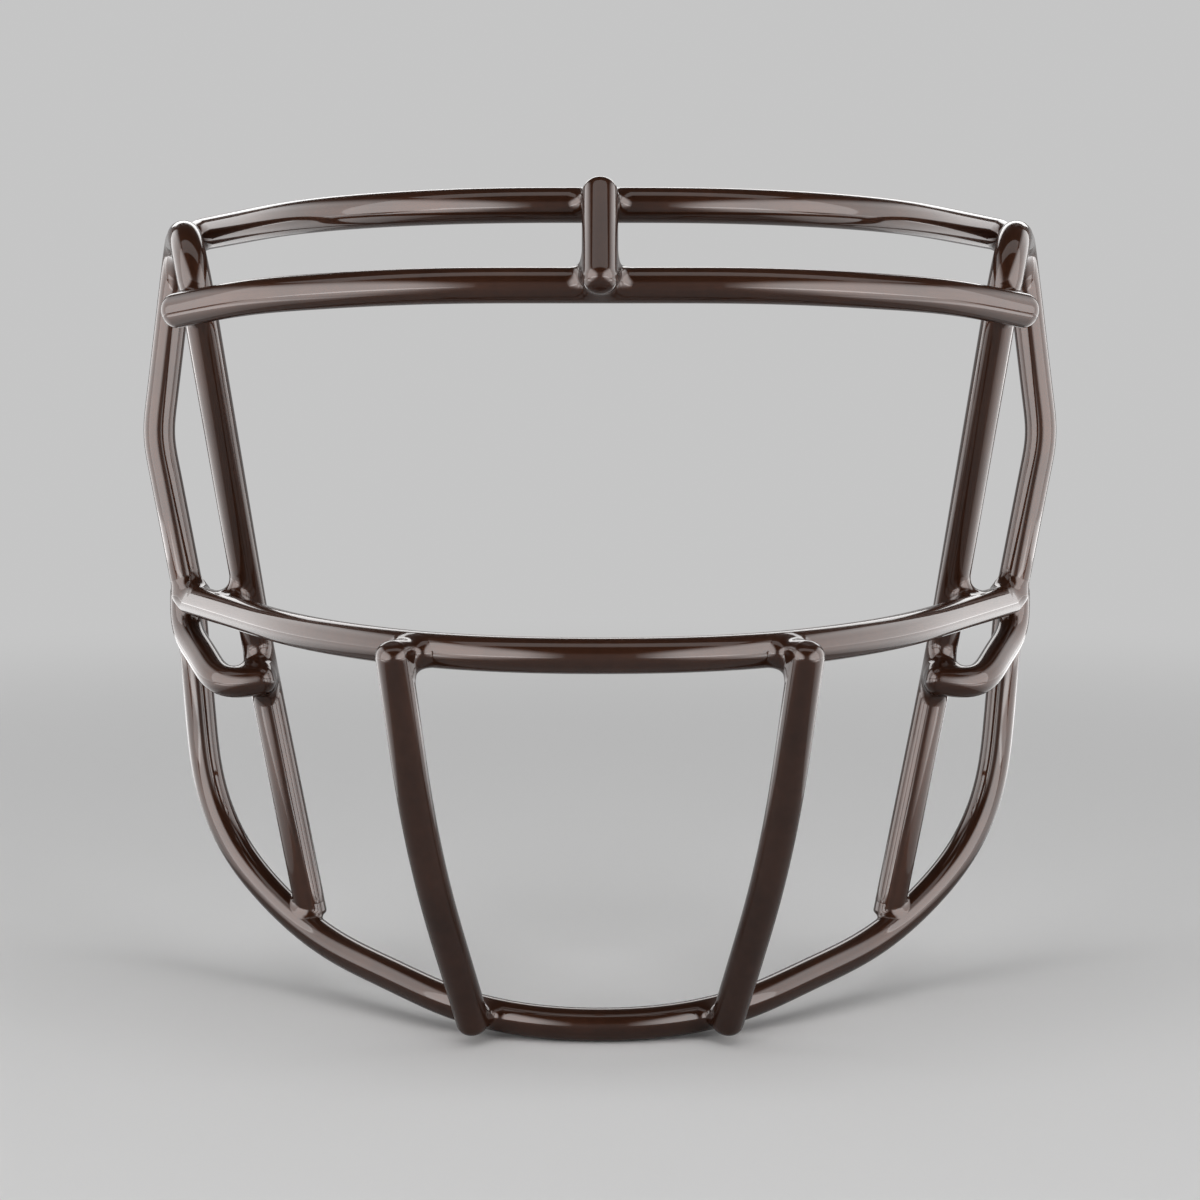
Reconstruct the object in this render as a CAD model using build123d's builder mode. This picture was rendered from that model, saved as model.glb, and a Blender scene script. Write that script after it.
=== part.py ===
"""Football helmet facemask: a welded cage of round wire under a thick glossy coating.

X runs across the face, Y from the front of the mask to its rear and Z up.
The origin is the middle of the footprint, on the surface that the mask stands on.
Depths are counted back from the axis of the mid bar, where it is furthest forward.
All lengths are in millimetres.
"""
import math
import os

from build123d import *

os.makedirs("parts", exist_ok=True)

# Wire and welds
wire_d = 7.5        # steel wire with its dipped coating
weld_gap = 0.3      # metal laid between two wires where they meet
bead_r = 5.3        # outer radius of a weld bead
bend_share = 0.47   # how much of the shorter run beside it an easy bend may take
wire_r = wire_d / 2
pitch = wire_d + weld_gap

# Heights between the axes of the four horizontal bars
chin_height = 89.3  # jaw bar to mid bar
eye_height = 75.5   # mid bar to lower brow bar
brow_height = 17.2  # lower brow bar to top brow bar
jaw_z = wire_r
mid_z = jaw_z + chin_height
low_z = mid_z + eye_height
top_z = low_z + brow_height

# Top brow bar, which wraps round the brow and ends inside the crowns
top_half_w = 90.1
top_front = 27.0
top_wrap = 55.0
top_drop = 2.8
top_plan_shares = ((0.33, 0.0), (0.73, 0.42), (1.0, 1.0))
top_drop_shares = (0.0, 0.27, 1.0)

# Lower brow bar, the flattest one, whose ends lie on the side uprights
low_half_w = 91.1
low_front = 14.0
low_wrap = 22.0
low_drop = 4.7
low_plan_shares = ((0.42, 0.0), (0.82, 0.58), (1.0, 1.0))
low_drop_shares = (0.0, 0.42, 1.0)

# Mid bar across the mouth, the furthest forward
mid_half_w = 99.6
mid_front = 0
mid_wrap = 91.5
mid_rise = 2.3
mid_plan_shares = ((0.26, 0.0), (0.64, 0.37), (1.0, 1.0))
mid_rise_shares = (0.0, 0.05, 1.0)

# Jaw bar, round the chin and up behind the cheeks
jaw_half_w = 97.6
jaw_front = 42.0
jaw_wrap = 63.0
jaw_tuck = 5.0      # its ends below the tops of the clip loops
jaw_plan_shares = ((0.24, 0.0), (0.735, 0.68), (1.0, 1.0))
jaw_lift_shares = (0.0, 0.115, 0.38)

# Centre post, leaning back across the front of both brow bars
post_slip = 3.4     # how far it sits below the points where it crosses the bars squarely

# Side hoops: an upright, a crown over its top and an outer wire beside the eye
crown_gap = 1.1     # wider gap between the end of the top brow bar and the crown
crown_step = 2.6    # crown below the end of the top brow bar
crown_overrun = 12.0
crown_bend_r = 12.0
kink_out = 6.6
kink_bend_r = 30.0
kink_share = 0.48
elbow_drop = 14.0   # bend of the upright below the mid bar
elbow_bend_r = 55.0
mid_cross_share = 0.868
foot_share = 0.505

# Clip loops under the ends of the mid bar
loop_splay = 17.0   # degrees outwards from straight behind the end of the mid bar
loop_leg = 8.0
loop_lean = 1.2
hook_reach = 9.0    # straight run across the front of the upright
hook_share = 0.189  # where it lies on the hoop, counted from the foot

# Chin uprights
chin_top_share = 0.283
chin_foot_share = 0.148
chin_bow = 4.2

rear_depth = mid_front + mid_wrap + pitch * math.cos(math.radians(loop_splay)) + pitch


def at(x, depth, height):
    """Point given by its width from the middle, its depth and its height."""
    return Vector(x, depth - rear_depth / 2, height)


def along(start, end, reach):
    """Point that lies a given length from start on the way to end."""
    return start + (end - start).normalized() * reach


def between(start, end, share):
    """Point that lies a given share of the way from start to end."""
    return start + (end - start) * share


def ease(points, corner):
    """Largest arc at a corner that still leaves a little of both its runs straight."""
    before = points[corner] - points[corner - 1]
    after = points[corner + 1] - points[corner]
    half_turn = math.radians(before.get_angle(after)) / 2
    return bend_share * min(before.length, after.length) / math.tan(half_turn)


def axis_line(points, tight_bends=()):
    """Axis of a wire: straight runs joined by tangent arcs, as large as they fit.

    tight_bends holds (corner, radius) pairs for the corners with a radius of their own.
    """
    radii = [ease(points, corner) for corner in range(1, len(points) - 1)]
    for corner, radius in tight_bends:
        radii[corner - 1] = min(radius, radii[corner - 1])
    with BuildLine() as line:
        FilletPolyline(*points, radius=radii)
    return line.wire()


def flip(point):
    """Mirror image of a point on the other side of the face."""
    return Vector(-point.X, point.Y, point.Z)


def half_bar(half_w, front, wrap, height, rise, plan_shares, rise_shares):
    """Points of the right half of a bar, as shares of its width, its wrap and its rise."""
    return [
        at(x * half_w, front + y * wrap, height + z * rise)
        for (x, y), z in zip(plan_shares, rise_shares)
    ]


def bar_line(side_points):
    """Axis of a bar that crosses the face, from the points of its right half."""
    return axis_line([flip(point) for point in reversed(side_points)] + side_points)


def on_bar(line, share):
    """Point of a bar, a share of the way from its middle to its right end."""
    return line @ ((1 + share) / 2)


def run_at(line, share):
    """Direction of a bar at that same point, heading to its right end."""
    return line % ((1 + share) / 2)


def front_of(line, share):
    """Level unit vector square to a bar at that point, heading to the front."""
    run = run_at(line, share)
    return Vector(run.Y, -run.X, 0).normalized()


def square_to(run, sight):
    """Unit vector square to a run, on the side that another vector points to."""
    return (sight - run * sight.dot(run)).normalized()


def bent_wire(label, line):
    """Round wire along an axis, with the domed ends that the coating gives it."""
    with BuildPart() as wire:
        with BuildSketch(Plane(origin=line @ 0, z_dir=line % 0)):
            Circle(wire_r)
        sweep(path=line)
        with Locations(Plane(line @ 0, z_dir=line % 0), Plane(line @ 1, z_dir=line % 1)):
            Sphere(wire_r)
    wire.part.label = label
    return wire.part


def mirrored(label, right):
    """Left-hand copy of a right-hand piece."""
    with BuildPart() as left:
        add(right)
        mirror(about=Plane.YZ, mode=Mode.REPLACE)
    left.part.label = label
    return left.part


def weld(label, joints, neighbours, both_sides=True):
    """Beads of weld halfway between two axes, cut to the pieces that they lie against.

    joints holds a pair of points for each bead, one on the axis of each wire.
    """
    pairs = list(joints)
    if both_sides:
        pairs += [(flip(first), flip(second)) for first, second in joints]
    places = [Plane(between(first, second, 0.5), z_dir=second - first) for first, second in pairs]
    with BuildPart() as bead:
        with Locations(*places):
            Sphere(bead_r)
        for piece in neighbours:
            add(piece, mode=Mode.SUBTRACT)
    bead.part.label = label
    return bead.part


# Corners of the four bars that cross the face
top_points = half_bar(
    top_half_w, top_front, top_wrap, top_z, -top_drop, top_plan_shares, top_drop_shares
)
low_points = half_bar(
    low_half_w, low_front, low_wrap, low_z, -low_drop, low_plan_shares, low_drop_shares
)
mid_points = half_bar(
    mid_half_w, mid_front, mid_wrap, mid_z, mid_rise, mid_plan_shares, mid_rise_shares
)
jaw_points = half_bar(
    jaw_half_w, jaw_front, jaw_wrap, jaw_z, chin_height, jaw_plan_shares, jaw_lift_shares
)
top_end = top_points[-1]
low_end = low_points[-1]
mid_end = mid_points[-1]

# The clip loop and then the jaw bar end one behind the other at the end of the mid bar
splay = math.radians(loop_splay)
loop_top = mid_end + Vector(math.sin(splay), math.cos(splay), 0) * pitch
jaw_end = loop_top + Vector(0, pitch, -jaw_tuck)

top_line = bar_line(top_points)
low_line = bar_line(low_points)
mid_line = bar_line(mid_points)
jaw_line = bar_line(jaw_points + [jaw_end])

# Centre post, square in front of the axes of both brow bars
post_run = (top_line @ 0.5 - low_line @ 0.5).normalized()
post_front = Vector(0, -post_run.Z, post_run.Y)
post_foot = low_line @ 0.5 + post_front * pitch - post_run * post_slip
post_top = top_line @ 0.5 + post_front * pitch - post_run * post_slip
with BuildLine() as post_axis:
    Line(post_foot, post_top)

# Side hoop, from the foot of the upright over the crown to the end of the mid bar
mid_seat = on_bar(mid_line, mid_cross_share)
upright_sight = low_end - mid_seat
mid_cross = mid_seat + upright_sight.cross(run_at(mid_line, mid_cross_share)).normalized() * pitch
brow_cross = low_end + upright_sight.cross(run_at(low_line, 1)).normalized() * pitch
climb = (brow_cross - mid_cross) / (brow_cross.Z - mid_cross.Z)
elbow = mid_cross - climb * elbow_drop
jaw_seat = on_bar(jaw_line, foot_share)
upright_foot = jaw_seat + square_to(run_at(jaw_line, foot_share), elbow - jaw_seat) * pitch
crown_z = top_end.Z - crown_step
crown_front = brow_cross + climb * (crown_z - brow_cross.Z)
crown_side = math.sqrt((wire_d + crown_gap) ** 2 - crown_step**2)
crown_sight = Vector(top_end.X - crown_front.X, top_end.Y - crown_front.Y, 0)
swing = math.asin(crown_side / crown_sight.length)
crown_run = crown_sight.rotate(Axis.Z, -math.degrees(swing)).normalized()
crown_seat = crown_front + crown_run * crown_sight.length * math.cos(swing)
crown_rear = crown_seat + crown_run * crown_overrun
kink = between(mid_end, crown_rear, kink_share) + Vector(kink_out, 0, 0)
hoop_end = along(mid_end, kink, pitch)
hoop_line = axis_line(
    [upright_foot, elbow, crown_front, crown_rear, kink, hoop_end],
    ((1, elbow_bend_r), (2, crown_bend_r), (3, crown_bend_r), (4, kink_bend_r)),
)

# Clip loop, from behind the end of the mid bar round to the front of the upright
hook_seat = hoop_line @ hook_share
hook_front = square_to(hoop_line % hook_share, Vector(0, -1, 0))
loop_end = hook_seat + hook_front * pitch
loop_rear = loop_top + Vector(0, -loop_lean, -loop_leg)
loop_low = loop_end + hook_front.cross(hoop_line % hook_share) * -hook_reach
loop_line = axis_line([loop_top, loop_rear, loop_low, loop_end])

# Chin upright, bowed outwards in front of the mid bar and the jaw bar
chin_top_seat = on_bar(mid_line, chin_top_share)
chin_foot_seat = on_bar(jaw_line, chin_foot_share)
chin_sight = (chin_top_seat - chin_foot_seat).normalized()
chin_front = front_of(mid_line, chin_top_share)
chin_top = chin_top_seat + chin_front * pitch / chin_front.cross(chin_sight).length
chin_foot = chin_foot_seat + front_of(jaw_line, chin_foot_share) * pitch
bow_front = square_to(chin_sight, chin_front)
chin_line = axis_line([chin_top, between(chin_top, chin_foot, 0.5) + bow_front * chin_bow, chin_foot])

# Bent wires
top_brow_bar = bent_wire("top_brow_bar", top_line)
lower_brow_bar = bent_wire("lower_brow_bar", low_line)
centre_post = bent_wire("centre_post", post_axis.wire())
mid_bar = bent_wire("mid_bar", mid_line)
jaw_bar = bent_wire("jaw_bar", jaw_line)
side_hoop_right = bent_wire("side_hoop_right", hoop_line)
side_hoop_left = mirrored("side_hoop_left", side_hoop_right)
clip_loop_right = bent_wire("clip_loop_right", loop_line)
clip_loop_left = mirrored("clip_loop_left", clip_loop_right)
chin_upright_right = bent_wire("chin_upright_right", chin_line)
chin_upright_left = mirrored("chin_upright_left", chin_upright_right)
hoops = [side_hoop_right, side_hoop_left]
loops = [clip_loop_right, clip_loop_left]
chin_uprights = [chin_upright_right, chin_upright_left]

# Weld beads
top_middle = top_line @ 0.5
low_middle = low_line @ 0.5
post_top_weld = weld(
    "post_top_weld", [(top_middle, top_middle + post_front * pitch)], [top_brow_bar, centre_post], False
)
post_foot_weld = weld(
    "post_foot_weld", [(low_middle, low_middle + post_front * pitch)], [lower_brow_bar, centre_post], False
)
crown_welds = weld("crown_welds", [(top_end, crown_seat)], [top_brow_bar, *hoops])
brow_end_welds = weld("brow_end_welds", [(low_end, brow_cross)], [lower_brow_bar, *hoops])
upright_mid_welds = weld("upright_mid_welds", [(mid_seat, mid_cross)], [mid_bar, *hoops])
cheek_welds = weld(
    "cheek_welds",
    [(mid_end, hoop_end), (mid_end, loop_top), (jaw_end, jaw_end - Vector(0, pitch, 0))],
    [mid_bar, jaw_bar, *hoops, *loops],
)
loop_hook_welds = weld("loop_hook_welds", [(hook_seat, loop_end)], [*hoops, *loops])
upright_foot_welds = weld("upright_foot_welds", [(jaw_seat, upright_foot)], [jaw_bar, *hoops])
chin_top_welds = weld("chin_top_welds", [(chin_top_seat, chin_top)], [mid_bar, *chin_uprights])
chin_foot_welds = weld("chin_foot_welds", [(chin_foot_seat, chin_foot)], [jaw_bar, *chin_uprights])

bars = [top_brow_bar, lower_brow_bar, centre_post, mid_bar, jaw_bar]
middle_welds = [post_top_weld, post_foot_weld, chin_top_welds, chin_foot_welds]
side_welds = [crown_welds, brow_end_welds, upright_mid_welds, cheek_welds, loop_hook_welds, upright_foot_welds]
for piece in bars + hoops + loops + chin_uprights + middle_welds + side_welds:
    export_step(piece, f"parts/{piece.label}.step")
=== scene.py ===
"""Football helmet facemask: a welded cage of round wire under a thick glossy brown coating.

Shapes are worked out in millimetres and go into their meshes in metres.
X runs across the face, Y from the front of the mask to its rear and Z up from the floor.
"""

import bpy
import numpy as np
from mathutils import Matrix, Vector


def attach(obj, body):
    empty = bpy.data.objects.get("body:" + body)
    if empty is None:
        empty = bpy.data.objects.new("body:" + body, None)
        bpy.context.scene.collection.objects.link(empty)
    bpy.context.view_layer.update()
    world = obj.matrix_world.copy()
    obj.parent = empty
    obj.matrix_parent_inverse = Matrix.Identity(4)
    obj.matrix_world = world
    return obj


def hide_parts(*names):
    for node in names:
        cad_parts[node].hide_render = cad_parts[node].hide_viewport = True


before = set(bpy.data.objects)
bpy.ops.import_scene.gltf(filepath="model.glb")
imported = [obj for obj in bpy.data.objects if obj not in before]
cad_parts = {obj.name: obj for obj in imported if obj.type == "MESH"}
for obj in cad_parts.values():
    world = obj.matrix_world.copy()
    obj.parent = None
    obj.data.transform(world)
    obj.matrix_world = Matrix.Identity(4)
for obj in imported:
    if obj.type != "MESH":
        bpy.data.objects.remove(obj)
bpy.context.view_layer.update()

# Top brow bar. One steel wire, bent cold in a press and welded to the cage, and then dipped
# with it in a brown coating that sets thick and glossy. It wraps round the brow, and its cut
# ends lie inside the crowns of the side hoops.
wire_d = 7.5
wire_r = wire_d / 2
weld_gap = 0.3
pitch = wire_d + weld_gap
bend_share = 0.47
cut_edge = 3.2
bar_spring = 7
mask_depth = 106.76
chin_height = 89.3
eye_height = 75.5
brow_height = 17.2
jaw_z = wire_r
mid_z = jaw_z + chin_height
low_z = mid_z + eye_height
top_z = low_z + brow_height
top_half_w = 90.1
top_front = 27
top_wrap = 55
top_drop = 2.8
top_overrun = 4.8
top_edge = 2.2


def at(x, depth, height):
    """Points given by their width from the middle, their depth behind the mid bar and their height."""
    return np.stack(np.broadcast_arrays(x, depth - mask_depth / 2, height), axis=-1).astype(float)


def unit(vectors):
    """The same directions with a length of one."""
    return vectors / np.linalg.norm(vectors, axis=-1, keepdims=True)


def flip(points):
    """Mirror images of points on the other side of the face."""
    return points * [-1, 1, 1]


def spaced(line, spacing):
    """The same line through points that are evenly spaced, by its length along the way."""
    way = np.concatenate([[0], np.cumsum(np.linalg.norm(np.diff(line, axis=0), axis=1))])
    stops = np.linspace(0, way[-1], max(2, round(way[-1] / spacing)))
    return np.stack([np.interp(stops, way, line[:, side]) for side in range(3)], axis=1)


def bent_axis(corners, own_radii=()):
    """Axis of a bent wire: straight runs joined by tangent arcs, as points 0.1 mm apart.

    A bend takes up at most a share of the shorter run beside it, so its radius is that length
    over the tangent of half the turn, or its own radius where that is less. Its arc is
    start + radius * (sin(a) * run before + (1 - cos(a)) * inward), for a from 0 to the turn.
    """
    corners = np.asarray(corners, dtype=float)
    runs = np.diff(corners, axis=0)
    lengths = np.linalg.norm(runs, axis=1)
    before, after = unit(runs[:-1]), unit(runs[1:])
    cosine = np.sum(before * after, axis=1, keepdims=True)
    turn = np.arccos(cosine[:, 0])
    radius = bend_share * np.minimum(lengths[:-1], lengths[1:]) / np.tan(turn / 2)
    for corner, own_radius in own_radii:
        radius[corner - 1] = min(own_radius, radius[corner - 1])
    inward = (after - before * cosine) / np.sin(turn)[:, None]
    start = corners[1:-1] - before * (radius * np.tan(turn / 2))[:, None]
    a = turn[:, None, None] * np.linspace(0, 1, 400)[None, :, None]
    bow = np.sin(a) * before[:, None] + (1 - np.cos(a)) * inward[:, None]
    arcs = (start[:, None] + radius[:, None, None] * bow).reshape(-1, 3)
    return spaced(np.vstack([corners[:1], arcs, corners[-1:]]), 0.1)


def whole_bar(side_corners):
    """Axis of a bar that crosses the face, from the corners of its right half."""
    return bent_axis(np.vstack([flip(side_corners[::-1]), side_corners]))


def sprung(axis, spread):
    """The same axis with its bends run into each other, as springy wire takes them.

    A bell-shaped average along the wire would pull each bend inwards. So the line is twice its
    average less the average of that average, which puts nearly all of the pull back. Past an
    end, the line is carried on by its own image turned about the end.
    """
    reach = round(30 * spread)
    bell = np.exp(-0.5 * (np.arange(-reach, reach + 1) / (10 * spread)) ** 2)

    def average(line):
        before, after = 2 * line[0] - line[reach:0:-1], 2 * line[-1] - line[-2 : -reach - 2 : -1]
        whole = np.vstack([before, line, after])
        sides = [np.convolve(side, bell / bell.sum(), "valid") for side in whole.T]
        return np.stack(sides, axis=1)

    once = average(axis)
    return spaced(2 * once - average(once), 0.1)


def carried_on(axis, reach, *ends):
    """The axis carried straight on by a reach past its first point (0), its last (-1) or both."""
    for end in ends:
        step = unit(axis[end] - axis[1 if end == 0 else -2])
        more = axis[end] + step * np.arange(1, round(reach * 10) + 1)[:, None] * 0.1
        axis = np.vstack([more[::-1], axis] if end == 0 else [axis, more])
    return axis


def round_wire(axis, edge):
    """Round wire as a grid of points whose first and last rows are its poles.

    A ring is its centre + size * (cos(a) * across + sin(a) * up), where across and up are
    square to the axis. Both ends go one radius past the axis and are cut flat with a rounded
    edge: there the centre moves out by radius - edge + edge * sin(b) and the size is
    radius - edge + edge * cos(b), for b from 0 to a quarter turn. A full radius makes a dome.
    """
    line = spaced(axis, 1.0)
    run = unit(np.gradient(line, axis=0))
    least_used = np.linalg.svd(run)[2][-1]
    across = unit(np.cross(run, least_used))
    up = np.cross(run, across)
    b = np.linspace(0, np.pi / 2, 14)
    flat = (wire_r - edge) * np.array([0.8, 0.5, 0.0])
    end_shift = np.concatenate([wire_r - edge + edge * np.sin(b), flat * 0 + wire_r])
    end_size = np.concatenate([wire_r - edge + edge * np.cos(b), flat])
    still = np.zeros(len(line))
    last = len(line) - 1
    pick = np.concatenate([end_shift * 0, np.arange(last + 1), end_shift * 0 + last]).astype(int)
    shift = np.concatenate([-end_shift[::-1], still, end_shift])
    size = np.concatenate([end_size[::-1], still + wire_r, end_size])
    centre = line[pick] + run[pick] * shift[:, None]
    a = np.linspace(0, 2 * np.pi, 64, endpoint=False)[None, :, None]
    rim = np.cos(a) * across[pick][:, None] + np.sin(a) * up[pick][:, None]
    return centre[:, None] + size[:, None, None] * rim


def new_piece(name, vertices, faces):
    """One object from points in millimetres and the faces between them."""
    mesh = bpy.data.meshes.new(name)
    mesh.from_pydata((vertices / 1000).tolist(), [], faces)
    mesh.shade_smooth()
    piece = bpy.data.objects.new(name, mesh)
    bpy.context.scene.collection.objects.link(piece)
    return piece


def skin(name, grids):
    """One object of closed skins. In each grid the rows are rings, from one pole to the other."""
    vertices, faces = [], []
    first = 0
    for grid in grids:
        rows, sides = grid.shape[:2]
        vertices.append(np.vstack([grid[0, :1], grid[1:-1].reshape(-1, 3), grid[-1, :1]]))
        last = first + (rows - 2) * sides + 1
        here = first + 1 + np.arange((rows - 2) * sides).reshape(rows - 2, sides)
        beside = np.roll(here, -1, axis=1)
        quads = np.stack([here[:-1], beside[:-1], beside[1:], here[1:]], axis=-1)
        faces += quads.reshape(-1, 4).tolist()
        faces += np.stack([here[0] * 0 + first, beside[0], here[0]], axis=-1).tolist()
        faces += np.stack([here[-1], beside[-1], here[-1] * 0 + last], axis=-1).tolist()
        first = last + 1
    return new_piece(name, np.vstack(vertices), faces)


class Shade:
    """A socket of a shader tree. Sums and products of such sockets add their Math nodes."""

    def __init__(self, tree, socket=None):
        self.tree = tree
        self.socket = socket

    def node(self, kind, settings=(), output=0, **inputs):
        """Add any node: its settings first, and then the values or links of its sockets."""
        node = self.tree.nodes.new(kind)
        for name, value in dict(settings).items():
            setattr(node, name, value)
        for name, value in inputs.items():
            key = int(name[1:]) if name[0] == "_" else name.replace("_", " ")
            if isinstance(value, Shade):
                self.tree.links.new(value.socket, node.inputs[key])
            else:
                node.inputs[key].default_value = value
        return Shade(self.tree, node.outputs[output] if node.outputs else None)

    def math(self, operation, first, second):
        return self.node("ShaderNodeMath", {"operation": operation}, _0=first, _1=second)

    def __add__(self, other):
        return self.math("ADD", self, other)

    def __radd__(self, other):
        return self.math("ADD", other, self)

    def __mul__(self, other):
        return self.math("MULTIPLY", self, other)

    def __rmul__(self, other):
        return self.math("MULTIPLY", other, self)

    def __sub__(self, other):
        return self.math("SUBTRACT", self, other)

    def __rsub__(self, other):
        return self.math("SUBTRACT", other, self)


def new_finish(name):
    """An empty material and the shade that its nodes are added from."""
    material = bpy.data.materials.new(name)
    material.use_nodes = True
    material.node_tree.nodes.clear()
    return material, Shade(material.node_tree)


def dipped_coat(name, thin, thick, peel, flow):
    """Glossy coating that a cage is dipped in, with its faint orange peel and slow flow marks.

    thin and thick are its colours where it drew thin and where it ran together. peel and flow
    are the heights in metres of its fine and its slow waves.
    """
    material, shade = new_finish(name)
    place = shade.node("ShaderNodeTexCoord", output="Object")
    cloud = shade.node("ShaderNodeTexNoise", Vector=place, Scale=55.0, Detail=3.0, Roughness=0.6)
    grain = shade.node("ShaderNodeTexNoise", Vector=place, Scale=480.0, Detail=2.0, Roughness=0.5)
    wave = shade.node("ShaderNodeTexNoise", Vector=place, Scale=130.0, Detail=1.0, Roughness=0.5)
    colour = shade.node(
        "ShaderNodeMix", {"data_type": "RGBA"}, output=2,
        _0=(cloud - 0.3) * 1.8 + (grain - 0.5) * 0.5, _6=(*thin, 1), _7=(*thick, 1),
    )
    skin_height = grain * peel + wave * flow
    bump = shade.node("ShaderNodeBump", Height=skin_height, Strength=1.0, Distance=1.0)
    surface = shade.node(
        "ShaderNodeBsdfPrincipled",
        Base_Color=colour,
        Metallic=0.25,
        Roughness=0.24 + 0.16 * cloud,
        Coat_Weight=0.65,
        Coat_Roughness=0.05,
        Coat_IOR=1.5,
        Specular_IOR_Level=0.0,
        Normal=bump,
    )
    shade.node("ShaderNodeOutputMaterial", Surface=surface)
    return material


def fit(piece, coat, *nodes):
    """Coat a piece, let it ride with the cage and stand for its solids."""
    piece.data.materials.append(coat)
    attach(piece, "root")
    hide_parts(*nodes)


wire_coat = dipped_coat(
    "brown_coat",
    thin=(0.040, 0.0155, 0.0085),
    thick=(0.021, 0.0078, 0.0041),
    peel=0.000006,
    flow=0.00002,
)
top_out, top_back, top_down = np.array([(0.33, 0.0, 0.0), (0.73, 0.42, 0.27), (1.0, 1.0, 1.0)]).T
top_corners = at(top_half_w * top_out, top_front + top_wrap * top_back, top_z - top_drop * top_down)
top_axis = whole_bar(top_corners)
top_end = top_corners[-1]
top_line = carried_on(sprung(top_axis, bar_spring), top_overrun, 0, -1)
fit(skin("top_brow_bar_coated", [round_wire(top_line, top_edge)]), wire_coat, "top_brow_bar")

# Lower brow bar. The flattest of the bent wires, below the top one and further forward. Its
# domed ends lie on the front of the side uprights and stick out a little past them.
low_half_w = 91.1
low_front = 14
low_wrap = 22
low_drop = 4.7
low_out, low_back, low_down = np.array([(0.42, 0.0, 0.0), (0.82, 0.58, 0.42), (1.0, 1.0, 1.0)]).T
low_corners = at(low_half_w * low_out, low_front + low_wrap * low_back, low_z - low_drop * low_down)
low_axis = whole_bar(low_corners)
low_end = low_corners[-1]
low_line = sprung(low_axis, bar_spring)
fit(skin("lower_brow_bar_coated", [round_wire(low_line, cut_edge)]), wire_coat, "lower_brow_bar")

# Centre post. A short straight piece of the same wire, welded across the front of both brow
# bars. It leans back with them, and its ends are rounded off by the coating.
post_slip = 3.4
post_short = 0.85
post_edge = 2.9


def half_way(axis):
    """Point in the middle of an axis."""
    return axis[(len(axis) - 1) // 2 : len(axis) // 2 + 1].mean(axis=0)


top_middle, low_middle = half_way(top_axis), half_way(low_axis)
post_run = unit(top_middle - low_middle)
post_front = np.array([0, -post_run[2], post_run[1]])
post_ends = np.stack([low_middle, top_middle - post_run * post_short])
post_axis = spaced(post_ends + post_front * pitch - post_run * post_slip, 0.1)
fit(skin("centre_post_coated", [round_wire(post_axis, post_edge)]), wire_coat, "centre_post")

# Mid bar. The wire across the mouth, the furthest forward of all. It sweeps back past the
# cheeks, and its ends carry the outer wires, the clip loops and the jaw bar.
mid_half_w = 99.6
mid_wrap = 91.5
mid_rise = 2.3
mid_short = 1.2
mid_edge = 3.7


def shortened(axis, first, last):
    """The axis less a length at its first end and a length at its last."""
    return axis[round(first * 10) : len(axis) - round(last * 10)]


mid_out, mid_back, mid_up = np.array([(0.26, 0.0, 0.0), (0.64, 0.37, 0.05), (1.0, 1.0, 1.0)]).T
mid_corners = at(mid_half_w * mid_out, mid_wrap * mid_back, mid_z + mid_rise * mid_up)
mid_axis = whole_bar(mid_corners)
mid_end = mid_corners[-1]
mid_line = shortened(sprung(mid_axis, bar_spring), mid_short, mid_short)
fit(skin("mid_bar_coated", [round_wire(mid_line, mid_edge)]), wire_coat, "mid_bar")

# Jaw bar. The longest wire. It runs round the chin, where the mask stands on it, and its ends
# rise behind the cheeks to the ends of the mid bar, one behind the clip loop's.
jaw_half_w = 97.6
jaw_front = 42
jaw_wrap = 63
jaw_tuck = 5.0
splay = np.radians(17)
jaw_out, jaw_back, jaw_up = np.array([(0.24, 0.0, 0.0), (0.735, 0.68, 0.115), (1.0, 1.0, 0.38)]).T
jaw_corners = at(jaw_half_w * jaw_out, jaw_front + jaw_wrap * jaw_back, jaw_z + chin_height * jaw_up)
loop_top = mid_end + np.array([np.sin(splay), np.cos(splay), 0]) * pitch
jaw_end = loop_top + [0, pitch, -jaw_tuck]
jaw_axis = whole_bar(np.vstack([jaw_corners, jaw_end]))
jaw_line = sprung(jaw_axis, bar_spring)
fit(skin("jaw_bar_coated", [round_wire(jaw_line, cut_edge)]), wire_coat, "jaw_bar")

# Side hoops. One wire a side: an upright beside the eye, a crown over its top and an outer
# wire with a kink, which comes down to stand on the end of the mid bar.
mid_cross_share = 0.868
foot_share = 0.505
foot_back = 2.6
elbow_drop = 14.0
elbow_bend_r = 55
crown_gap = 1.1
crown_step = 2.6
crown_overrun = 12.0
crown_bend_r = 12
kink_share = 0.466
kink_out = 6.6
kink_bend_r = 30
hoop_spring = 3
hoop_edge = 1.0


def on_axis(axis, share):
    """Point of an axis, a share of its length from its start, and its direction there."""
    step = share * (len(axis) - 1)
    low = min(int(step), len(axis) - 2)
    point = axis[low] + (axis[low + 1] - axis[low]) * (step - low)
    return point, unit(axis[low + 1] - axis[low])


def on_bar(axis, share):
    """Point of a bar, a share of the way from its middle to its right end, and its direction."""
    return on_axis(axis, (1 + share) / 2)


def square_to(run, sight):
    """Unit vector square to a run, on the side that another vector points to."""
    return unit(sight - run * np.dot(sight, run))


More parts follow.
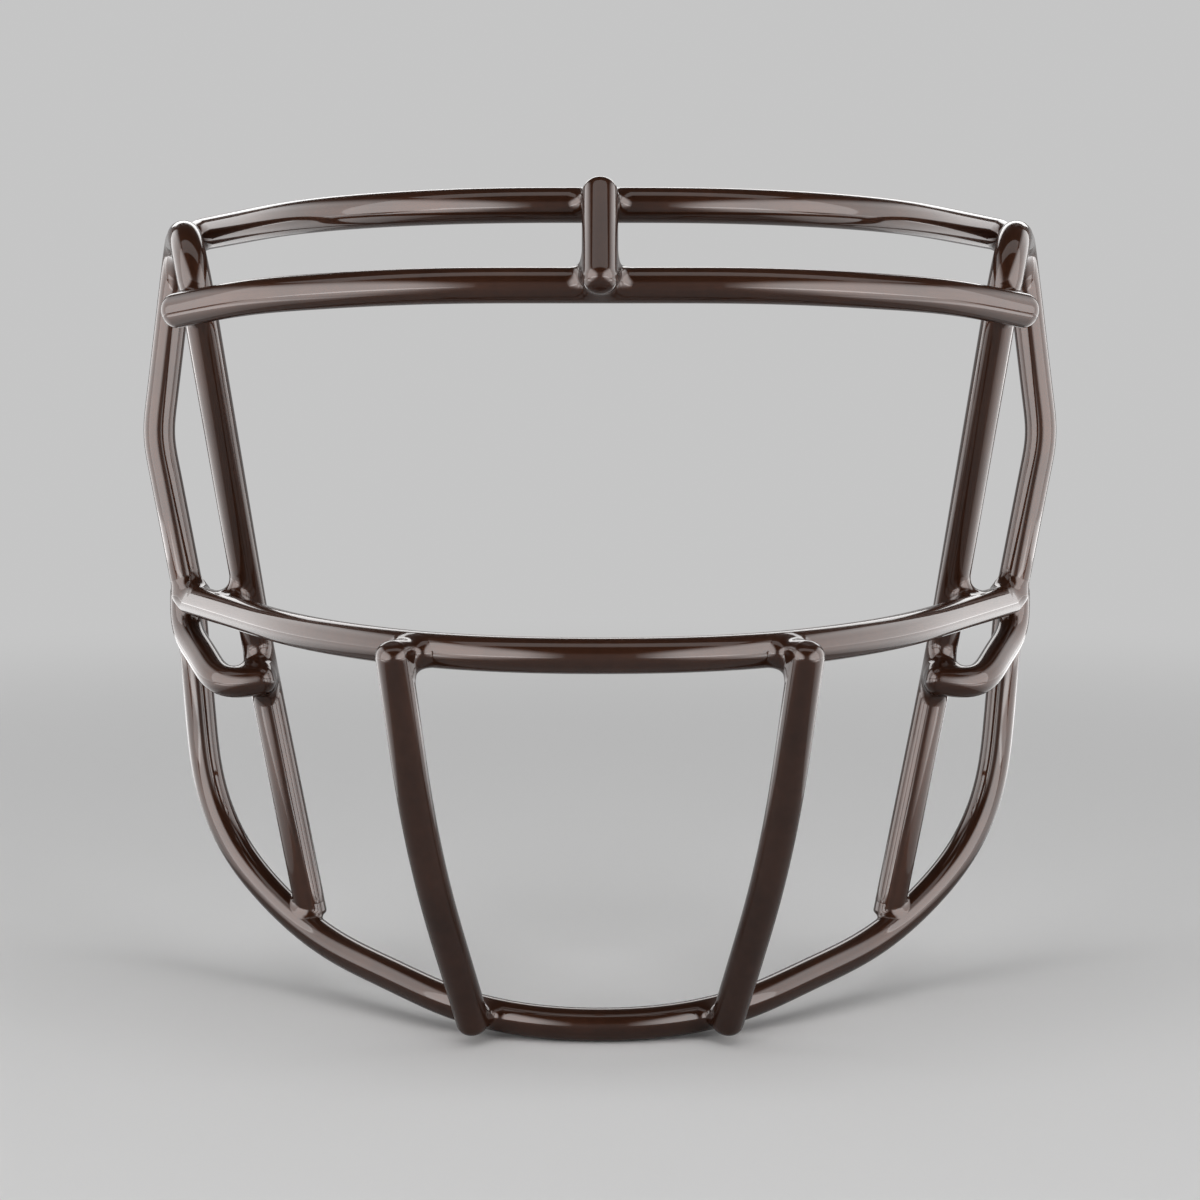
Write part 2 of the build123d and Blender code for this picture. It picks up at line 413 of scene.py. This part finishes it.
mid_seat, mid_run = on_bar(mid_axis, mid_cross_share)
upright_sight = low_end - mid_seat
mid_cross = mid_seat + unit(np.cross(upright_sight, mid_run)) * pitch
brow_cross = low_end + unit(np.cross(upright_sight, on_bar(low_axis, 1)[1])) * pitch
climb = (brow_cross - mid_cross) / (brow_cross - mid_cross)[2]
elbow = mid_cross - climb * elbow_drop
jaw_seat, jaw_run = on_bar(jaw_axis, foot_share)
upright_foot = jaw_seat + square_to(jaw_run, elbow - jaw_seat) * pitch
crown_front = brow_cross + climb * (top_end[2] - crown_step - brow_cross[2])
crown_side = np.sqrt((wire_d + crown_gap) ** 2 - crown_step**2)
crown_sight = (top_end - crown_front) * [1, 1, 0]
crown_reach = np.linalg.norm(crown_sight)
swing = np.arcsin(crown_side / crown_reach)
crown_run = unit(
    np.array([
        crown_sight[0] * np.cos(swing) + crown_sight[1] * np.sin(swing),
        crown_sight[1] * np.cos(swing) - crown_sight[0] * np.sin(swing),
        0,
    ])
)
crown_seat = crown_front + crown_run * crown_reach * np.cos(swing)
crown_rear = crown_seat + crown_run * crown_overrun
kink = mid_end + (crown_rear - mid_end) * kink_share + [kink_out, 0, 0]
hoop_end = mid_end + unit(kink - mid_end) * pitch
hoop_axis = bent_axis(
    [upright_foot + [0, foot_back, 0], elbow, crown_front, crown_rear, kink, hoop_end],
    ((1, elbow_bend_r), (2, crown_bend_r), (3, crown_bend_r), (4, kink_bend_r)),
)
hoop_line = sprung(hoop_axis, hoop_spring)
hoop_skin = round_wire(hoop_line, hoop_edge)


def other_side(grid):
    """Left-hand copy of a right-hand skin, its sides in turn so that it still faces outwards."""
    return flip(grid)[:, ::-1]


fit(skin("side_hoop_right_coated", [hoop_skin]), wire_coat, "side_hoop_right")
fit(skin("side_hoop_left_coated", [other_side(hoop_skin)]), wire_coat, "side_hoop_left")

# Clip loops. J-shaped wires under the ends of the mid bar, which the helmet's side clips hook
# round. Each starts behind the mid bar's end and ends across the front of the upright.
loop_leg = 8.0
loop_lean = 1.2
loop_spring = 4.5
loop_edge = 3.0
hook_reach = 9.0
hook_share = 0.193
hook_seat, hook_run = on_axis(hoop_axis, hook_share)
hook_front = square_to(hook_run, np.array([0, -1, 0]))
loop_end = hook_seat + hook_front * pitch
loop_rear = loop_top + [0, -loop_lean, -loop_leg]
loop_low = loop_end - np.cross(hook_front, hook_run) * hook_reach
loop_axis = bent_axis([loop_top, loop_rear, loop_low, loop_end])
loop_line = sprung(loop_axis, loop_spring)
loop_skin = round_wire(loop_line, loop_edge)
fit(skin("clip_loop_right_coated", [loop_skin]), wire_coat, "clip_loop_right")
fit(skin("clip_loop_left_coated", [other_side(loop_skin)]), wire_coat, "clip_loop_left")

# Chin uprights. Two wires bowed outwards, welded to the front of the mid bar and of the jaw
# bar, where their domed ends show.
chin_top_share = 0.283
chin_foot_share = 0.148
chin_bow = 4.2
chin_top_short = 1.6
chin_foot_short = 1.3
chin_spring = 6
chin_edge = 2.7
chin_top_seat, chin_top_run = on_bar(mid_axis, chin_top_share)
chin_foot_seat, chin_foot_run = on_bar(jaw_axis, chin_foot_share)
chin_sight = unit(chin_top_seat - chin_foot_seat)
chin_front = unit(np.array([chin_top_run[1], -chin_top_run[0], 0]))
chin_top = chin_top_seat + chin_front * pitch / np.linalg.norm(np.cross(chin_front, chin_sight))
chin_foot = chin_foot_seat + unit(np.array([chin_foot_run[1], -chin_foot_run[0], 0])) * pitch
chin_axis = bent_axis(
    [chin_top, (chin_top + chin_foot) / 2 + square_to(chin_sight, chin_front) * chin_bow, chin_foot]
)
chin_line = shortened(sprung(chin_axis, chin_spring), chin_top_short, chin_foot_short)
chin_skin = round_wire(chin_line, chin_edge)
fit(skin("chin_upright_right_coated", [chin_skin]), wire_coat, "chin_upright_right")
fit(skin("chin_upright_left_coated", [other_side(chin_skin)]), wire_coat, "chin_upright_left")

# Welds of the post. Where wires meet, weld metal and then the coating fill the corners all
# round the place where they touch, so that one runs into the other in a smooth hollow.
cell = 0.4
tuck = 0.02
lump = 0.08
lump_ramp = 0.6


def gap_to(points, wire):
    """Distance of points from the surface of a wire, below zero inside it.

    A wire is its axis and the rounded edge of its ends. The distance is that from the nearest of
    its short straight steps less the radius. Past an end at distance t, and r off the run there,
    it is the length of the two that r and t exceed radius - edge by, less edge, as for any solid
    with a rounded edge.
    """
    axis, edge = wire
    least = np.full(len(points), np.inf)
    for start, step in zip(axis[:-1], np.diff(axis, axis=0)):
        off = points - start
        share = np.clip(off @ step / (step @ step), 0, 1)
        least = np.minimum(least, np.sum((off - share[:, None] * step) ** 2, axis=1))
    gap = np.sqrt(least) - wire_r
    for end, beside in ((axis[0], axis[1]), (axis[-1], axis[-2])):
        out = unit(end - beside)
        off = points - end
        past = off @ out
        aside = np.sqrt(np.maximum(np.sum(off**2, axis=1) - past**2, 0))
        both = np.stack([past, aside]) - (wire_r - edge)
        cut = np.minimum(both.max(axis=0), 0) + np.linalg.norm(both.clip(0), axis=0) - edge
        ends_there = (past > 0) & (np.sum(off**2, axis=1) <= least * 1.0001)
        gap = np.where(ends_there, cut, gap)
    return gap


def melted(middle, half, hollow, *wires):
    """Closed skin of the metal and coating that fill the corners between wires, in one block.

    The block has a middle and half sizes, and a wire is its axis and the edge of its ends.
    With gaps g from the wires' surfaces, the skin lies where max(hollow, least g) is the root of
    the sum of max(hollow - g, 0) squared. That is a quarter-round hollow where two surfaces
    stand square to each other. Elsewhere it is the wires themselves, and the skin is tucked just
    under them. Where it fills, low waves make it uneven. It is found as a net on a grid of small
    cubes: a point in each cube that it passes through, at the mean of where it crosses the
    cube's edges, and a face round each edge that it crosses. Points then slide down the slope on
    to it. The faces of the block close it off inside the wires. Away from it, cubes four by four
    by four share one rough value, which saves time.
    """
    half = np.asarray(half, dtype=float)

    def near(wire):
        """The part of a wire that can touch the block, through points 1 mm apart."""
        axis, edge = wire
        inside = np.flatnonzero(np.all(np.abs(axis - middle) < half + wire_r + 2, axis=1))
        return spaced(axis[inside[0] : inside[-1] + 1], 1.0), edge

    parts = [near(wire) for wire in wires]

    def field(points):
        gaps = np.stack([gap_to(points, part) for part in parts])
        least = gaps.min(axis=0)
        joined = np.maximum(hollow, least) - np.linalg.norm((hollow - gaps).clip(0), axis=0)
        filled = np.minimum((least - joined) / lump_ramp, 1)
        waves = np.sin(points @ [0.9, 0.5, 0.7]) + np.sin(points @ [-0.6, 1.1, 0.8] + 2)
        block = np.max(np.abs(points - middle) - (half - cell * 1.5), axis=1)
        return np.maximum(joined + tuck - lump / 2 * filled * waves, block)

    count = np.ceil(half / cell / 2).astype(int) * 4
    sides = [np.arange(n) * cell - (n - 1) * cell / 2 + m for n, m in zip(count, middle)]
    grid = np.stack(np.meshgrid(*sides, indexing="ij"), axis=-1)
    block_middles = (grid[1::4, 1::4, 1::4] + grid[2::4, 2::4, 2::4]) / 2
    rough = field(block_middles.reshape(-1, 3)).reshape(count // 4)
    value = rough.repeat(4, axis=0).repeat(4, axis=1).repeat(4, axis=2)
    close = np.abs(value) < 3 * cell
    value[close] = field(grid[close])
    total = np.zeros((*(count - 1), 3))
    crossings = np.zeros(count - 1)
    crossed = []
    for way in range(3):
        low = [slice(None)] * 3
        high = [slice(None)] * 3
        low[way], high[way] = slice(None, -1), slice(1, None)
        first, second = value[tuple(low)], value[tuple(high)]
        cross = (first < 0) != (second < 0)
        share = np.where(cross, first / np.where(cross, first - second, 1), 0)
        place = grid[tuple(low)] + share[..., None] * (grid[tuple(high)] - grid[tuple(low)])
        crossed.append((cross, first < 0))
        one, two = [side for side in range(3) if side != way]
        for shift_one in (0, 1):
            for shift_two in (0, 1):
                part = [slice(None)] * 3
                part[one] = slice(shift_one, count[one] - 1 + shift_one)
                part[two] = slice(shift_two, count[two] - 1 + shift_two)
                crossings += cross[tuple(part)]
                total += np.where(cross[tuple(part)][..., None], place[tuple(part)], 0)
    used = crossings > 0
    number = np.cumsum(used.ravel()).reshape(used.shape) - 1
    points = total[used] / crossings[used][:, None]
    faces = []
    for way, (cross, inside) in enumerate(crossed):
        one, two = [(1, 2), (2, 0), (0, 1)][way]
        spots = np.argwhere(cross)
        corner = []
        for back_one, back_two in ((1, 1), (0, 1), (0, 0), (1, 0)):
            cube = spots.copy()
            cube[:, one] -= back_one
            cube[:, two] -= back_two
            corner.append(number[tuple(cube.T)])
        quads = np.stack(corner, axis=-1)
        outwards = inside[tuple(spots.T)]
        faces.append(np.where(outwards[:, None], quads, quads[:, ::-1]))
    nudge = 0.02

    def slope(points):
        rises = [field(points + n) - field(points - n) for n in np.eye(3) * nudge]
        return np.stack(rises, axis=1) / (2 * nudge)

    for _ in range(3):
        fall = slope(points)
        steep = np.maximum(np.sum(fall**2, axis=1, keepdims=True), 0.2)
        points = points - np.clip(field(points)[:, None] * fall / steep, -cell / 2, cell / 2)
    return points, np.concatenate(faces), unit(slope(points) + 1e-9)


def weld_skin(name, nets):
    """One object of closed nets. Its shading follows the slope of the surface at each point."""
    starts = np.cumsum([0] + [len(points) for points, _, _ in nets])
    faces = np.concatenate([net[1] + start for net, start in zip(nets, starts)])
    piece = new_piece(name, np.concatenate([net[0] for net in nets]), faces.tolist())
    piece.data.normals_split_custom_set_from_vertices(np.concatenate([net[2] for net in nets]).tolist())
    return piece


def both_sides(net):
    """A right-hand net and its left-hand copy, whose faces run the other way round."""
    points, faces, normals = net
    return [net, (flip(points), faces[:, ::-1], flip(normals))]


post_wire = (post_axis, post_edge)
for node, bar_line, bar_middle in (
    ("post_top_weld", top_line, top_middle),
    ("post_foot_weld", low_line, low_middle),
):
    bar_wire = (bar_line, cut_edge)
    post_net = melted(bar_middle + post_front * pitch / 2, (13, 12, 12), 5.0, bar_wire, post_wire)
    fit(weld_skin(node + "_coated", [post_net]), wire_coat, node)

# Welds of the side hoops: at the crowns, at the ends of the lower brow bar, where the uprights
# cross the mid bar and at their feet. They are laid from behind and coated over like the rest.
# For its welds, a hoop counts as sunk into the bars that its two ends stand on. Each joint has
# the middle and the half sizes of its block, its hollow and its two wires.
foot_sink = 2.5
rear_sink = 3
butted_hoop = (carried_on(carried_on(hoop_line, foot_sink, 0), rear_sink, -1), hoop_edge)
top_wire = (top_line, top_edge)
low_wire = (low_line, cut_edge)
mid_wire = (mid_line, mid_edge)
jaw_wire = (jaw_line, cut_edge)
side_joints = {
    "crown_welds": ((top_end + crown_seat) / 2, (12, 17, 10), 3.6, top_wire, butted_hoop),
    "brow_end_welds": ((low_end + brow_cross) / 2, (12, 12, 12), 4.2, low_wire, butted_hoop),
    "upright_mid_welds": ((mid_seat + mid_cross) / 2, (13, 13, 12), 4.8, mid_wire, butted_hoop),
    "upright_foot_welds": (upright_foot, (12, 11, 12), 1.3, jaw_wire, butted_hoop),
}
for node, joint in side_joints.items():
    fit(weld_skin(node + "_coated", both_sides(melted(*joint))), wire_coat, node)

# Welds at the cheeks. The outer wire, the clip loop and the jaw bar all end at the end of the
# mid bar, and the coating has pooled between them.
loop_wire = (loop_line, loop_edge)
cheek_middle = mid_end + [0, 5, -1]
cheek_net = melted(cheek_middle, (13, 17, 15), 2.9, mid_wire, butted_hoop, loop_wire, jaw_wire)
fit(weld_skin("cheek_welds_coated", both_sides(cheek_net)), wire_coat, "cheek_welds")

# Welds of the clip loops, whose free ends hook across the front of the uprights. There is one
# bead a side, coated over with the two wires that it joins.
hook_middle = (hook_seat + loop_end) / 2
hook_net = melted(hook_middle, (12, 12, 12), 5.4, butted_hoop, loop_wire)
fit(weld_skin("loop_hook_welds_coated", both_sides(hook_net)), wire_coat, "loop_hook_welds")

# Welds of the chin uprights, at the front of the mid bar and of the jaw bar. There is one bead
# at each end of an upright, coated over with the wires.
chin_wire = (chin_line, chin_edge)
chin_joints = {
    "chin_top_welds": ((chin_top_seat + chin_top) / 2, (12, 12, 12), 4.6, mid_wire, chin_wire),
    "chin_foot_welds": ((chin_foot_seat + chin_foot) / 2, (12, 12, 12), 4.2, jaw_wire, chin_wire),
}
for node, joint in chin_joints.items():
    fit(weld_skin(node + "_coated", both_sides(melted(*joint))), wire_coat, node)

# Floor. A plain pale studio floor that the mask stands on, wide enough for every view. Far out
# it fades into the pale surroundings, so that no edge shows.
pale = 0.78
far_pale = 0.56
floor_a = np.linspace(0, 2 * np.pi, 128, endpoint=False)
floor_rings = np.array([0, 0.4, 1.0, 2.0, 4.0, 9.0, 20.0])[:, None, None] * 1000
floor_grid = floor_rings * np.stack([np.cos(floor_a), np.sin(floor_a), floor_a * 0], axis=1)
floor = skin("studio_floor", [np.concatenate([floor_grid, floor_grid[:1] - [0, 0, 50]])])
floor_finish, shade = new_finish("pale_floor")
spot = shade.node("ShaderNodeTexCoord", output="Object")
distance = shade.node("ShaderNodeVectorMath", {"operation": "LENGTH"}, output="Value", _0=spot)
smooth = {"interpolation_type": "SMOOTHSTEP"}
fade = shade.node("ShaderNodeMapRange", smooth, Value=distance, _1=0.22, _2=0.85)
speckle = shade.node("ShaderNodeTexNoise", Vector=spot, Scale=14.0, Detail=4.0)
matt = shade.node(
    "ShaderNodeBsdfPrincipled",
    Base_Color=(pale, pale, pale, 1),
    Roughness=0.7 + 0.1 * speckle,
    Specular_IOR_Level=0.0,
)
glow = shade.node("ShaderNodeEmission", Color=(far_pale, far_pale, far_pale, 1), Strength=1.0)
faded = shade.node("ShaderNodeMixShader", _0=fade, _1=matt, _2=glow)
shade.node("ShaderNodeOutputMaterial", Surface=faded)
floor.data.materials.append(floor_finish)

# Surroundings and lamps. Pale near the horizon and dim overhead. On each side, soft panels stand
# in front of the mask and beside it, and cards lie on the floor, which show in its gloss alone.
# The keys, the ceiling and a box above give the light, and a box behind gives the top rims.
world = bpy.data.worlds.new("studio")
bpy.context.scene.world = world
world.use_nodes = True
world.node_tree.nodes.clear()
shade = Shade(world.node_tree)
heading = shade.node("ShaderNodeTexCoord", output="Generated")
height = shade.node("ShaderNodeSeparateXYZ", output="Z", Vector=heading)
dim = shade.node("ShaderNodeMapRange", smooth, Value=height, _1=0.2, _2=0.42)
overhead = 0.04
air = shade.node(
    "ShaderNodeMix", {"data_type": "RGBA"}, output=2,
    _0=dim, _6=(far_pale, far_pale, far_pale, 1), _7=(overhead, overhead, overhead, 1),
)
shade.node("ShaderNodeOutputWorld", Surface=shade.node("ShaderNodeBackground", Color=air, Strength=1.0))


def soft_panel(name, place, size, radiance, shows_in, aim=(0, 0, 0.1), turn=None):
    """Rectangular lamp aimed at a point, or, with a turn, lying flat and facing up.

    size is its width and height, and shows_in names what it lights: matt, gloss or both. Its
    power is radiance * pi * its area.
    """
    lamp = bpy.data.lights.new(name, "AREA")
    lamp.shape = "RECTANGLE"
    lamp.size, lamp.size_y = size
    lamp.energy = radiance * np.pi * size[0] * size[1]
    panel = bpy.data.objects.new(name, lamp)
    panel.location = place
    panel.rotation_euler = (Vector(aim) - panel.location).to_track_quat("-Z", "Y").to_euler()
    if turn is not None:
        panel.rotation_euler = (np.pi, 0, turn)
    panel.visible_camera = False
    panel.visible_diffuse = shows_in != "gloss"
    panel.visible_glossy = shows_in != "matt"
    bpy.context.scene.collection.objects.link(panel)
    return lamp


def fade_out(lamp):
    """Let a lamp fade towards its top and towards the mask.

    With x off the middle and z high, it is full where z - x is below -0.05 m and dark where it
    is above 0.3 m, and full where x is above 0.3 m and dark where it is below 0.08 m.
    """
    lamp.use_nodes = True
    lamp.node_tree.nodes.clear()
    shade = Shade(lamp.node_tree)
    place = shade.node("ShaderNodeNewGeometry", output="Position")
    across = shade.node("ShaderNodeSeparateXYZ", output="X", Vector=place)
    high = shade.node("ShaderNodeSeparateXYZ", output="Z", Vector=place)
    off = shade.node("ShaderNodeMath", {"operation": "ABSOLUTE"}, _0=across)
    near_top = shade.node("ShaderNodeMapRange", smooth, Value=high - off, _1=-0.05, _2=0.3)
    clear = shade.node("ShaderNodeMapRange", smooth, Value=off, _1=0.08, _2=0.3)
    glow = shade.node("ShaderNodeEmission", Color=(1, 1, 1, 1), Strength=(1 - near_top) * clear)
    shade.node("ShaderNodeOutputLight", Surface=glow)


for side, way in (("left", -1), ("right", 1)):
    soft_panel(side + "_key", (0.85 * way, -0.8, 0.6), (0.75, 0.76), 2.6, "matt")
    in_front, beside = (0.4 * way, -0.42, 0.4), (0.56 * way, 0.16, 0.5)
    low_in_front, low_beside = (0.3 * way, -0.44, 0.001), (0.4 * way, 0.15, 0.001)
    for lamp in (
        soft_panel(side + "_panel", in_front, (0.76, 0.8), 8.0, "gloss", (0, 0, 0.4)),
        soft_panel(side + "_tall_panel", beside, (0.6, 1.0), 4.6, "gloss", (0, 0.1, 0.5)),
        soft_panel(side + "_card", low_beside, (0.5, 0.64), 3.6, "gloss", turn=0),
        soft_panel(side + "_front_card", low_in_front, (0.42, 0.66), 6.0, "gloss", turn=0.38 * way),
    ):
        fade_out(lamp)
soft_panel("ceiling", (0, 0.3, 1.7), (2.2, 2.0), 0.5, "matt")
soft_panel("top_box", (0, -0.35, 1.35), (1.9, 0.6), 1.9, "both")
soft_panel("rear_box", (0, 1.3, 0.8), (1.6, 0.4), 4.5, "gloss")

# Camera, at the place that the photograph was taken from: a little below the brow bars, half a
# metre in front of the mask and looking slightly down.
lens = bpy.data.cameras.new("camera")
lens.sensor_fit = "HORIZONTAL"
lens.angle = np.radians(28.45)
camera = bpy.data.objects.new("camera", lens)
camera.location = (0, -0.53338, 0.15445)
camera.rotation_euler = (np.radians(84.06), 0, 0)
bpy.context.scene.collection.objects.link(camera)
bpy.context.scene.camera = camera
bpy.context.scene.view_settings.view_transform = "Standard"
